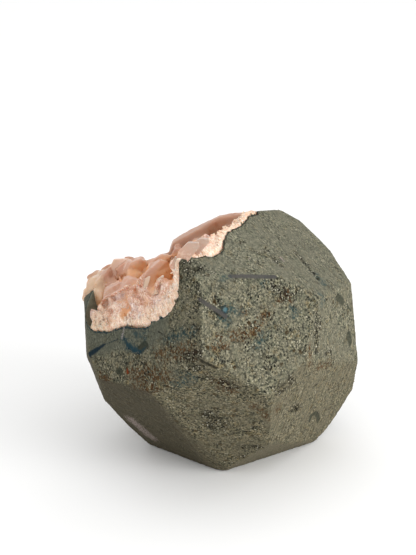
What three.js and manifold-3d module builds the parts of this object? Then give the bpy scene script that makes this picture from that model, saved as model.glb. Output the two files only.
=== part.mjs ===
// A heulandite geode: a saw-trimmed nodule of grey basalt, open at its upper left,
// whose hollow is lined with one crust of peach-pink heulandite crystals.
// Millimetres, +Z up. The origin is under the middle of the nodule, on the surface it rests on.

import * as THREE from 'three';
import { mergeVertices } from 'three/addons/utils/BufferGeometryUtils.js';
import Module from 'manifold-3d';

const wasm = await Module();
wasm.setup();

// ---------------------------------------------------------------- driving dimensions

const NODULE_CENTRE = new THREE.Vector3(-0.1, 4.8, 44);
const BLOCK = 160;                    // rough block that the saw cuts trim

// Each flat: name, turn about +Z from the front (degrees, + to the right),
// tilt upward (degrees), reach from the nodule's centre.
const SAW_CUTS = {
  left_front: [-45, 12, 48.9],
  top_front: [50.5, 60.5, 49.5],
  right_front: [36.5, 21.5, 47.6],
  middle_front: [33.5, 18.5, 48.3],
  under_front: [-6, -29.5, 41.4],
  under_left: [-37.5, -36.5, 40.9],
  under_sliver: [-22, -35.5, 41.9],
  under_right: [52, -18, 41.1],
  toe: [32.5, -46, 45.1],
  right_upper: [60.5, 4, 44],
  right_shoulder: [71, 52, 47],
  left_narrow: [-72.5, -16.5, 49.6],
  left_side: [-82, 0, 51.5],
  left_under: [-95.5, -26, 47.3],
  left_toe: [-93, -37, 49.5],
  right_side: [111, 9, 49.2],
  right_under: [98.5, -34.5, 59.5],
  right_toe: [92.5, -63.5, 56.1],
  right_crown: [103, 44, 54.1],
  right_crown_small: [108.5, 57, 54.7],
  back_left: [-130, -6, 46],
  back: [176, 4, 46],
  back_right: [140, 2, 48],
  back_left_under: [-165, -42, 47],
  back_right_under: [150, -40, 47],
  back_top: [165, 44, 50],
  back_left_top: [-140, 30, 49],
};
const REST_REACH = NODULE_CENTRE.z;   // the flat it rests on, facing straight down

// The broken mouth of the hollow: the main break faces up, left and back, and the left lip
// is broken lower, in two faces that meet in a blunt peak. With each break, how far
// the crust's wall, the blades of its lining and its rim blades stand proud of it,
// and how clear of the basalt the rim blades are where they reach over it.
const MOUTH_BREAKS = [
  { face: [-140.4, 56.9, 39.7], clear: 0.4, wall: 0.5, lining: 0.8, rim: 8 },
  { face: [-78.5, 44.5, 48.6], clear: 0.4, wall: 1.2, lining: 1.4, rim: 6 },
  { face: [-116.5, 48, 44.8], clear: 0.4, wall: 3.2, lining: 4.0, rim: 8 },
];

// The hollow is a leaning bowl. Its reach from the bowl's axis is given every 15 degrees.
const BOWL_CENTRE = new THREE.Vector3(-17.1, -0.2, 80);
const BOWL_LEAN = 24;                 // degrees from upright
const BOWL_LEAN_TURN = -105;          // which way it leans
const BOWL_REACH = [
  31.2, 35, 41, 41.5, 37, 34.2, 34.5, 34.5, 34.5, 34, 33, 33.8,
  38, 41.2, 37.6, 34.2, 36, 38.6, 40.3, 36.5, 32.4, 28.2, 26.8, 28.6,
];
const BOWL_DEPTH = 44;
const BOWL_CAP = 70;                  // how far the cut runs on above the rim
const BOWL_WAVES = [
  // crests around, crests down, offset, height
  [7, 3, 0.6, 0.3],
  [11, 4, 2.1, 0.25],
];
const BOWL_STEPS_AROUND = 40;
const BOWL_STEPS_DOWN = 16;

const CRUST_GAP = 0.4;                // between the crust and the basalt
const CRUST_THICKNESS = [2, 4.5, 6.5, 7, 7, 7, 7.5, 8, 7.2, 4.2, 4.6, 2];   // every 30 degrees
const CRUST_WAVES = [
  // crests around, crests down, offset, height as part of the thickness
  [5, 3, 0.4, 0.12],
  [9, 5, 1.7, 0.1],
];

// The far wall of the crust stands up past the basalt's broken edge: below the first three
// of these faces, and behind the last.
const FAR_WALL = [
  [-90, 78, 41.5],
  [-90, 61.6, 37.5],
  [-90, 15, 26.9],
  [12, 0, -9],
];

// Crystals: tabular, coffin-shaped blades, in rings from the mouth down to the floor.
const CRYSTAL_COUNT = 84;
const CRYSTAL_LENGTH = [8, 13];
const CRYSTAL_WIDTH = [5, 8.5];
const CRYSTAL_THICKNESS = [2.2, 4];
const CRYSTAL_ROOT = 3.5;             // depth of a blade's root in the crust
const CRYSTAL_GROWTH = [0.4, 0.8, 1, 1, 1, 1, 1, 1, 0.9, 0.6, 0.4, 0.2];   // every 30 degrees
const CRYSTAL_LEAN = 0.75;            // sideways part of a blade's direction, at most
const CRYSTAL_AIM = 6;                // blades point at the bowl's axis, this far off its centre
const CRYSTAL_RISE = 0.1;             // radians that a blade may sit above its ring
const CRYSTAL_SEED = 11;
const COFFIN_OUTLINE = [[-0.34, 0], [-0.5, 0.5], [-0.22, 1], [0.18, 1], [0.5, 0.55], [0.34, 0]];

// Blades that stand up along the far rim: root x, y, z, then turn and tilt of the blade,
// length, width, thickness and roll.
const RIM_BLADES = [
  [-45, 11, 57.4, -100, 50, 9, 11, 7, 95],
  [-44.4, 15, 59, -120, 52, 10, 10, 5, 80],
  [-42.4, 20, 59, -150, 66, 10.5, 10, 5, 80],
  [-39.4, 23, 60, -160, 72, 10, 9, 5, 20],
  [-37.4, 22, 61, 140, 76, 11, 6.5, 4, 80],
  [-31.2, 25, 58.6, 170, 70, 8, 8, 5, 40],
  [-20.6, 27, 62.4, -170, 74, 8, 9, 5, 100],
];

// The left wall of the hollow is bare where a piece of crust has come away.
const BARE_PATCH_MIN = new THREE.Vector3(-60, -13.5, 50);
const BARE_PATCH_MAX = new THREE.Vector3(-42.9, 4.5, 90);

// Pits and chips: the flat they are on, millimetres across and up from the flat's middle,
// then half width, half height, depth and spin in degrees.
const PITS = [
  ['top_front', -40.4, 5.4, 4.6, 2.6, 1.8, 8],
  ['under_right', -25.5, 15.6, 2.4, 1.4, 1.0, 30],
  ['under_front', 1.2, 9.8, 2.2, 1.8, 0.9, 0],
  ['under_front', -0.3, 34.5, 2.6, 1.3, 0.8, -20],
  ['under_front', 12.0, -11.9, 2.0, 1.0, 0.8, 0],
  ['under_right', -5.0, -1.5, 1.8, 1.6, 0.9, 0],
  ['middle_front', -26.3, -5.3, 2.6, 1.2, 0.8, -25],
  ['right_upper', -8.1, 19.6, 1.3, 3.2, 0.8, 6],
  ['right_upper', -8.9, 10.5, 1.5, 3.6, 0.9, -4],
  ['right_upper', 10.7, 19.4, 1.9, 1.1, 0.7, -30],
  ['top_front', -8.0, 1.3, 1.6, 1.0, 0.7, 20],
  ['top_front', -14.2, 8.6, 1.5, 0.9, 0.7, -15],
  ['right_front', -28.4, 16.7, 1.0, 0.8, 0.6, 0],
  ['back', -9, 4, 2.6, 1.8, 1.0, 15],
  ['back_left', 6, 3, 2.0, 2.8, 1.0, -10],
  ['back_right', -4, -9, 2.4, 1.6, 0.9, 40],
  ['back_top', 3, -6, 2.0, 1.4, 0.9, 0],
];

// Saw kerfs where a cut stopped short: flat, start and end across and up, width, depth.
const KERF_SLANT = -20;               // degrees that a kerf's floor leans
const KERFS = [
  ['right_front', -26, 25.2, -2.8, 20.8, 1.3, 0.9],
  ['right_front', -37.4, 19.7, -27.2, 10.6, 1.2, 0.8],
];

const BASALT = new THREE.MeshStandardMaterial({
  name: 'basalt', color: 0x7c786a, roughness: 0.9, metalness: 0,
});
const HEULANDITE = new THREE.MeshStandardMaterial({
  name: 'heulandite', color: 0xd9a68c, roughness: 0.35, metalness: 0,
});

// ---------------------------------------------------------------- joining and cutting

function asSolid(geometry) {
  const bare = geometry.clone();
  bare.deleteAttribute('normal');
  bare.deleteAttribute('uv');
  const merged = mergeVertices(bare, 1e-4);
  return new wasm.Manifold(new wasm.Mesh({
    numProp: 3,
    vertProperties: new Float32Array(merged.attributes.position.array),
    triVerts: new Uint32Array(merged.index.array),
  }));
}

function asMesh(solid, name, material) {
  const { vertProperties, triVerts } = solid.getMesh();
  const geometry = new THREE.BufferGeometry();
  geometry.setAttribute('position', new THREE.BufferAttribute(vertProperties, 3));
  geometry.setIndex(new THREE.BufferAttribute(triVerts, 1));
  geometry.computeVertexNormals();
  const mesh = new THREE.Mesh(geometry, material);
  mesh.name = name;
  return mesh;
}

function largestPiece(solid) {
  return solid.decompose().reduce((a, b) => (a.volume() > b.volume() ? a : b));
}

// ---------------------------------------------------------------- the flats

function facing(turn, tilt) {
  const a = THREE.MathUtils.degToRad(turn);
  const e = THREE.MathUtils.degToRad(tilt);
  return new THREE.Vector3(Math.sin(a) * Math.cos(e), -Math.cos(a) * Math.cos(e), Math.sin(e));
}

// The frame of a flat: x across it, y up it, z out of it, from the point nearest the centre.
function flatFrame([turn, tilt, reach]) {
  const out = facing(turn, tilt);
  const across = new THREE.Vector3(0, 0, 1).cross(out).normalize();
  const up = out.clone().cross(across);
  const frame = new THREE.Matrix4().makeBasis(across, up, out);
  return frame.setPosition(NODULE_CENTRE.clone().addScaledVector(out, reach));
}

function waste([turn, tilt, reach], shift = 0) {
  const box = new THREE.BoxGeometry(2 * BLOCK, 2 * BLOCK, BLOCK);
  box.translate(0, 0, BLOCK / 2);
  return asSolid(box.applyMatrix4(flatFrame([turn, tilt, reach + shift])));
}

function sawnBlock() {
  const block = new THREE.BoxGeometry(BLOCK, BLOCK, REST_REACH + BLOCK / 2);
  block.translate(0, 0, (REST_REACH + BLOCK / 2) / 2);
  return Object.values(SAW_CUTS).reduce((solid, cut) => solid.subtract(waste(cut)), asSolid(block));
}

// The nodule before it is hollowed. proud names what stands out of the mouth, if anything.
function trimmedBlock(proud) {
  let solid = sawnBlock();
  for (const mouth of MOUTH_BREAKS) {
    solid = solid.subtract(waste(mouth.face, proud ? mouth[proud] : 0));
  }
  return solid;
}

function farWallBlock() {
  return FAR_WALL.reduce((solid, face) => solid.subtract(waste(face)), sawnBlock());
}

// ---------------------------------------------------------------- the hollow

// The value at any angle, on a smooth closed curve through values given at even steps.
function around360(values, angle) {
  const n = values.length;
  const s = (((angle / (2 * Math.PI)) % 1) + 1) * n;
  const i = Math.floor(s);
  const t = s - i;
  const [a, b, c, d] = [-1, 0, 1, 2].map((k) => values[(i + k + n) % n]);
  return b + 0.5 * t * (c - a + t * (2 * a - 5 * b + 4 * c - d + t * (3 * (b - c) + d - a)));
}

function waveHeight(waves, around, down) {
  let height = 0;
  for (const [crestsAround, crestsDown, offset, size] of waves) {
    height += size * Math.sin(crestsAround * around + offset) * Math.cos(crestsDown * down + offset);
  }
  return height;
}

const BOWL_AXIS = facing(BOWL_LEAN_TURN, 90 - BOWL_LEAN);

function bowlFrame() {
  const right = new THREE.Vector3(1, 0, 0);
  right.addScaledVector(BOWL_AXIS, -right.dot(BOWL_AXIS)).normalize();
  const back = BOWL_AXIS.clone().cross(right);
  return new THREE.Matrix4().makeBasis(right, back, BOWL_AXIS).setPosition(BOWL_CENTRE);
}

// A point of the bowl, inset from its wall. down is -90 degrees at the floor, 0 at the rim.
function bowlPoint(around, down, insets) {
  const inset = around360(insets, around) * (1 + waveHeight(CRUST_WAVES, around, down));
  const wave = waveHeight(BOWL_WAVES, around, down) * Math.cos(down);
  const reach = (around360(BOWL_REACH, around) - inset + wave) * Math.cos(down);
  const height = down < 0 ? BOWL_DEPTH - inset : BOWL_CAP;
  const point = new THREE.Vector3(
    reach * Math.cos(around), reach * Math.sin(around), height * Math.sin(down));
  return point.applyMatrix4(bowlFrame());
}

function bowl(insets) {
  const ball = new THREE.SphereGeometry(1, BOWL_STEPS_AROUND, BOWL_STEPS_DOWN).rotateX(Math.PI / 2);
  const places = ball.attributes.position;
  for (let i = 0; i < places.count; i += 1) {
    const around = Math.atan2(places.getY(i), places.getX(i));
    const down = Math.asin(THREE.MathUtils.clamp(places.getZ(i), -1, 1));
    const point = bowlPoint(around, down, insets);
    places.setXYZ(i, point.x, point.y, point.z);
  }
  return asSolid(ball);
}

// ---------------------------------------------------------------- pits and kerfs

function pit([flat, across, up, halfWidth, halfHeight, depth, spin]) {
  const lump = new THREE.IcosahedronGeometry(1, 0);
  lump.scale(halfWidth, halfHeight, depth);
  lump.rotateZ(THREE.MathUtils.degToRad(spin));
  lump.translate(across, up, 0);
  return asSolid(lump.applyMatrix4(flatFrame(SAW_CUTS[flat])));
}

function kerf([flat, x0, y0, x1, y1, width, depth]) {
  const slot = new THREE.BoxGeometry(Math.hypot(x1 - x0, y1 - y0), width, 2 * depth);
  slot.rotateX(THREE.MathUtils.degToRad(KERF_SLANT));
  slot.rotateZ(Math.atan2(y1 - y0, x1 - x0));
  slot.translate((x0 + x1) / 2, (y0 + y1) / 2, 0);
  return asSolid(slot.applyMatrix4(flatFrame(SAW_CUTS[flat])));
}

// ---------------------------------------------------------------- the crystals

function makeRandom(seed) {
  let state = seed;
  return () => {
    state = (state * 1664525 + 1013904223) % 4294967296;
    return state / 4294967296;
  };
}

function between([low, high], part) {
  return low + (high - low) * part;
}

// A coffin-shaped blade standing on its root, its length along +Z before it is placed.
function blade(length, width, thickness) {
  const outline = new THREE.Shape();
  COFFIN_OUTLINE.forEach(([x, y], i) => {
    outline[i === 0 ? 'moveTo' : 'lineTo'](x * width, y * length - CRYSTAL_ROOT);
  });
  const plate = new THREE.ExtrudeGeometry(outline, { depth: thickness, bevelEnabled: false });
  plate.translate(0, 0, -thickness / 2);
  return plate.rotateX(Math.PI / 2);
}

function placeBlade(plate, root, direction, roll) {
  const turnUp = new THREE.Quaternion().setFromUnitVectors(new THREE.Vector3(0, 0, 1), direction);
  plate.rotateZ(roll);
  plate.applyQuaternion(turnUp);
  plate.translate(root.x, root.y, root.z);
  return asSolid(plate);
}

function liningBlades() {
  const random = makeRandom(CRYSTAL_SEED);
  const goldenAngle = Math.PI * (3 - Math.sqrt(5));
  const blades = [];
  for (let i = 0; i < CRYSTAL_COUNT; i += 1) {
    const around = i * goldenAngle;
    const down = -Math.asin((i + 0.5) / CRYSTAL_COUNT) + CRYSTAL_RISE * random();
    const root = bowlPoint(around, down, CRUST_THICKNESS);
    const aim = BOWL_CENTRE.clone().addScaledVector(BOWL_AXIS, CRYSTAL_AIM * (1 - 2 * random()));
    const direction = aim.sub(root).normalize();
    direction.x += CRYSTAL_LEAN * (random() - 0.5) * 2;
    direction.y += CRYSTAL_LEAN * (random() - 0.5) * 2;
    direction.z += CRYSTAL_LEAN * random();
    const growth = around360(CRYSTAL_GROWTH, around);
    const plate = blade(
      between(CRYSTAL_LENGTH, random()) * growth + CRYSTAL_ROOT,
      between(CRYSTAL_WIDTH, random()),
      between(CRYSTAL_THICKNESS, random()),
    );
    blades.push(placeBlade(plate, root, direction.normalize(), 2 * Math.PI * random()));
  }
  return blades;
}

function rimBlades() {
  return RIM_BLADES.map(([x, y, z, turn, tilt, length, width, thickness, roll]) => {
    const plate = blade(length + CRYSTAL_ROOT, width, thickness);
    const root = new THREE.Vector3(x, y, z);
    return placeBlade(plate, root, facing(turn, tilt), THREE.MathUtils.degToRad(roll));
  });
}

// ---------------------------------------------------------------- the two pieces

function makeBasalt() {
  let solid = trimmedBlock().subtract(bowl([0]));
  for (const each of PITS) {
    solid = solid.subtract(pit(each));
  }
  for (const each of KERFS) {
    solid = solid.subtract(kerf(each));
  }
  return largestPiece(solid);
}

function makeCrust() {
  const hollow = bowl([CRUST_GAP]);
  const wall = trimmedBlock('wall').add(farWallBlock()).intersect(hollow);
  const lining = trimmedBlock('lining').intersect(hollow);
  const rim = trimmedBlock('rim').subtract(trimmedBlock('clear').subtract(hollow));
  let solid = wall.subtract(bowl(CRUST_THICKNESS));
  solid = solid.add(wasm.Manifold.union(liningBlades()).intersect(lining));
  solid = solid.add(wasm.Manifold.union(rimBlades()).intersect(rim));
  const size = BARE_PATCH_MAX.clone().sub(BARE_PATCH_MIN);
  const middle = BARE_PATCH_MIN.clone().add(BARE_PATCH_MAX).multiplyScalar(0.5);
  const patch = new THREE.BoxGeometry(size.x, size.y, size.z);
  patch.translate(middle.x, middle.y, middle.z);
  return largestPiece(solid.subtract(asSolid(patch)));
}

const geode = new THREE.Group();
geode.add(asMesh(makeBasalt(), 'basalt_nodule', BASALT));
geode.add(asMesh(makeCrust(), 'heulandite_crust', HEULANDITE));

export default geode;
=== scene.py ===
import math
import random

import bpy
import numpy as np
from mathutils import Matrix, Vector, noise
from mathutils.bvhtree import BVHTree
from mathutils.kdtree import KDTree


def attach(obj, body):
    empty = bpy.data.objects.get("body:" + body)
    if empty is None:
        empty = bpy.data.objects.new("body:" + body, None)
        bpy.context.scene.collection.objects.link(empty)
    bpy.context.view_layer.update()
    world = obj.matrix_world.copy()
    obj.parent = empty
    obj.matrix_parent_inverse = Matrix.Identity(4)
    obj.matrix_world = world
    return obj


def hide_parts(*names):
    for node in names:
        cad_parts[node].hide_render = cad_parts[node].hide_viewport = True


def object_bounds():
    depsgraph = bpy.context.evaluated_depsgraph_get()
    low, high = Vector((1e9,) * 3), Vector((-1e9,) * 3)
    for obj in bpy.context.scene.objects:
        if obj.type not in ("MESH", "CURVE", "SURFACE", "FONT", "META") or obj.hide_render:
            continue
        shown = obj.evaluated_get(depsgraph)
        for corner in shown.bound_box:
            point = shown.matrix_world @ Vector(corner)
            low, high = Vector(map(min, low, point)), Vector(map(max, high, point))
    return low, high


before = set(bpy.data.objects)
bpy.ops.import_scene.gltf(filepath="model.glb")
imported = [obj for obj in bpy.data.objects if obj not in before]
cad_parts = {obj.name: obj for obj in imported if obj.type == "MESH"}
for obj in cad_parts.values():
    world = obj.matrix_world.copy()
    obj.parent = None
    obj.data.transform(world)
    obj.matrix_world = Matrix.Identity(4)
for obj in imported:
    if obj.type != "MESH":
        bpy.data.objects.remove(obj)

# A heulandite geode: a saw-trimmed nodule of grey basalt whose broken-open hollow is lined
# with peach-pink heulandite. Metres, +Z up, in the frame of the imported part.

SOLID_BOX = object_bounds()
MM = 0.001

# -------- sizes and places
# Lengths in this part are millimetres, angles degrees.

NODULE_CENTRE = (-0.1, 4.8, 44)

# The sawn flats that are finished one by one: turn from the front, tilt upward, reach from
# the centre; then how strong the speckle is, how warm, and how light the stone is painted:
# partly its own tone and partly painted shade, fitted flat by flat to how each is lit.
FLATS = {
    "left_front": (-45, 12, 48.9, 1, 0.45, 0.88),
    "top_front": (50.5, 60.5, 49.5, 0.62, 0.1, 1.09),
    "right_front": (36.5, 21.5, 47.6, 1.15, 0.3, 0.92),
    "middle_front": (33.5, 18.5, 48.3, 1.1, 0.35, 1.03),
    "under_front": (-6, -29.5, 41.4, 0.85, 0.75, 0.89),
    "under_left": (-37.5, -36.5, 40.9, 0.35, 1, 0.5),
    "under_sliver": (-22, -35.5, 41.9, 0.55, 0.8, 0.9),
    "under_right": (52, -18, 41.1, 0.7, 0.75, 1.1),
    "toe": (32.5, -46, 45.1, 0.35, 0.8, 0.98),
    "right_upper": (60.5, 4, 44, 0.85, 0.35, 1.07),
    "right_shoulder": (71, 52, 47, 0.55, 0.15, 1.08),
    "left_narrow": (-72.5, -16.5, 49.6, 0.4, 0.9, 0.6),
    "left_under": (-95.5, -26, 47.3, 0.35, 0.9, 0.6),
    "right_crown": (103, 44, 54.1, 0.4, 0.1, 1.1),
    "right_side": (111, 9, 49.2, 0.55, 0.4, 1.05),
}
OTHER_FLATS = (0.6, 0.5, 0.8)
# How the saw ran over a flat: degrees from level, how clear its lines are.
SAW_PATHS = {
    "under_right": (90, 1.0), "under_sliver": (-52, 0.8), "under_left": (-40, 0.5),
    "left_front": (85, 0.25), "top_front": (60, 0.15), "right_shoulder": (75, 0.5),
    "right_upper": (80, 0.3), "under_front": (10, 0.12), "right_front": (5, 0.1),
}
OTHER_SAW_PATHS = (70, 0.35)
FLATS_START = 1.2  # a flat rules this close to its plane
EDGE_BLUR = 0.3

# The broken mouth of the hollow, as flats.
MOUTH_BREAKS = [(-140.4, 56.9, 39.7), (-78.5, 44.5, 48.6), (-116.5, 48, 44.8)]
# The flats that cut the crust.
CUT_FACES = [FLATS[name] for name in ("left_front", "top_front", "right_front")]
BOWL_CENTRE = (-17.1, -0.2, 80)
BOWL_LEAN = 24
BOWL_LEAN_TURN = -105
BOWL_REACH = 34

CAMERA_PLACE = (-5.19, -379.3, 209.8)
CAMERA_DOWN = 20
CAMERA_LENS = 70.77
CAMERA_SENSOR = 36
VIEW_WIDTH = 416
VIEW_HEIGHT = 555

# Single crystals that stand out. Shape; where the root and the tip are seen, across and down
# the camera's view; width and thickness; how pale; how far the tip leans to the front.
STANDING_CRYSTALS = [
    ("plate", 182, 258, 196, 240, 4.6, 1.6, 0.5, 0.6),
    ("plate", 192, 252, 207, 236, 4.2, 1.4, 0.6, 0.6),
    ("wedge", 174, 267, 180, 255, 2.6, 1.4, 0.8, 0.4),
    ("wedge", 158, 292, 161, 275, 2.2, 2.2, 0.9, 0.1),
    ("wedge", 146, 286, 148, 276, 1.6, 1.4, 0.9, 0.2),
]
# The same for crystals that grow out of the far wall.
FAR_CRYSTALS = [
    ("wedge", 116, 276, 125, 257, 7, 5, 0.35, 0),
    ("wedge", 121, 272, 134, 261, 4, 3, 0.2, 0),
    ("wedge", 138, 271, 139, 263, 3.5, 2.5, 1, 0.5),
]
# Lumps that fill the crust's far left lobe: middle and size.
LOBE_LUMPS = [
    (-47.5, 12, 63.5, 8), (-45.5, 5, 62.5, 7.5), (-47, 18.5, 64, 8),
    (-48.5, 10.5, 66, 6), (-45.5, 10, 60.5, 8), (-45, 13.5, 66.5, 7),
    (-45, 9.5, 65.5, 6.5), (-50.5, 10.5, 60.5, 5.5),
]

# Amber stains in the crust, as strokes like the marks on the basalt.
AMBER = {
    "left_front": [(-4.6, 13.2, -3.2, 15.2, 1.9), (21.5, 33, 22.3, 34.8, 1.3)],
    "top_front": [(-39.4, 9, -37.6, 9.8, 1.5)],
}

STONE_VOXEL = 0.75
STONE_WEAR = 3  # rounds of smoothing
# How far the stone laps over the edge of the crust on the flats, and how much more between
# places across the part.
STONE_LAP = 1.2
STONE_LAP_MORE = 1.5
STONE_LAP_MORE_FROM = (-29, -22)
STONE_LAP_MORE_TO = (-17, -13)
HOLE_LUMP = 1.1  # of the small holes where the stone is crumbled
HOLE_DEPTH = 1.6
HOLE_SHARE = 0.15
NO_MARK = 3.0  # half widths from a mark, at most, that are kept

BARE_CRUST_VOXEL = 0.7  # before the crystals grow on it
CRUST_VOXEL = 0.42
CRUST_TRIANGLES = 185000
HEAP_SIZE = 7
HEAP_HEIGHT = 8
# The facets that the cut face of the crust is broken into, and how many kinds there are.
FACET_WIDTH = 3.1
FACET_LENGTH = 4.2
FACET_COLUMNS = 97
FACET_ROWS = 13

# Crystal shapes, one long: width, thickness, bevel, and the planes that cut them, each a
# point and the way it faces.
SHAPES = {
    "coffin": (0.62, 0.26, 0.022, [
        ((0.22, 0, 1), (0.62, 0, 0.55)), ((-0.14, 0, 1), (-0.72, 0, 0.5)),
        ((0.31, 0, 0.35), (0.95, 0, -0.3)), ((-0.31, 0, 0.4), (-0.95, 0, -0.28)),
        ((0, 0.08, 1), (0, 0.8, 0.6))]),
    "wedge": (0.55, 0.36, 0.025, [
        ((-0.1, 0, 1), (0.55, 0.1, 0.8)), ((0, 0.12, 0.98), (0.1, 0.85, 0.5)),
        ((0, -0.1, 0.9), (-0.1, -0.9, 0.35)), ((-0.27, 0, 0.5), (-0.96, 0, -0.25))]),
    "plate": (0.85, 0.17, 0.02, [
        ((0.3, 0, 1), (0.75, 0, 0.66)), ((-0.3, 0, 0.95), (-0.55, 0, 0.83)),
        ((0.42, 0, 0.3), (0.94, 0, -0.33)), ((0, 0.05, 1), (0.1, 0.7, 0.7))]),
    "block": (0.6, 0.5, 0.03, [
        ((0, 0, 0.93), (0.25, 0.3, 0.92)), ((0.24, 0, 0.8), (0.85, 0.2, 0.5)),
        ((-0.22, 0.1, 0.85), (-0.7, 0.4, 0.5)), ((0, -0.2, 0.9), (0.1, -0.85, 0.5))]),
    "splinter": (0.24, 0.17, 0.012, [
        ((0.05, 0, 1), (0.45, 0.25, 0.85)), ((-0.08, 0, 0.95), (-0.6, -0.3, 0.7)),
        ((0.12, 0, 0.3), (0.98, 0, -0.12)), ((-0.12, 0, 0.3), (-0.98, 0, -0.12))]),
}
# Crystals and fibres: how many places are tried, and how long they are.
ANY_ROLL = 6.3  # radians
LINING_TRIES = 340
LINING_LENGTH = (3.5, 8.0)
LINING_CLEAR = 0.97  # share of a crystal that has to be clear of the stone
CRYSTAL_OVERHANG = 1.5
EDGE_TRIES = 300
EDGE_LENGTH = (2.6, 6.5)
EDGE_SUNK = 0.4  # under the flats, at least
FIBRE_TRIES = 800
FIBRE_LENGTH = (1.2, 3.0)
ROOM_AT_MOUTH = 99  # more than any crystal stands out of the mouth

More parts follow.
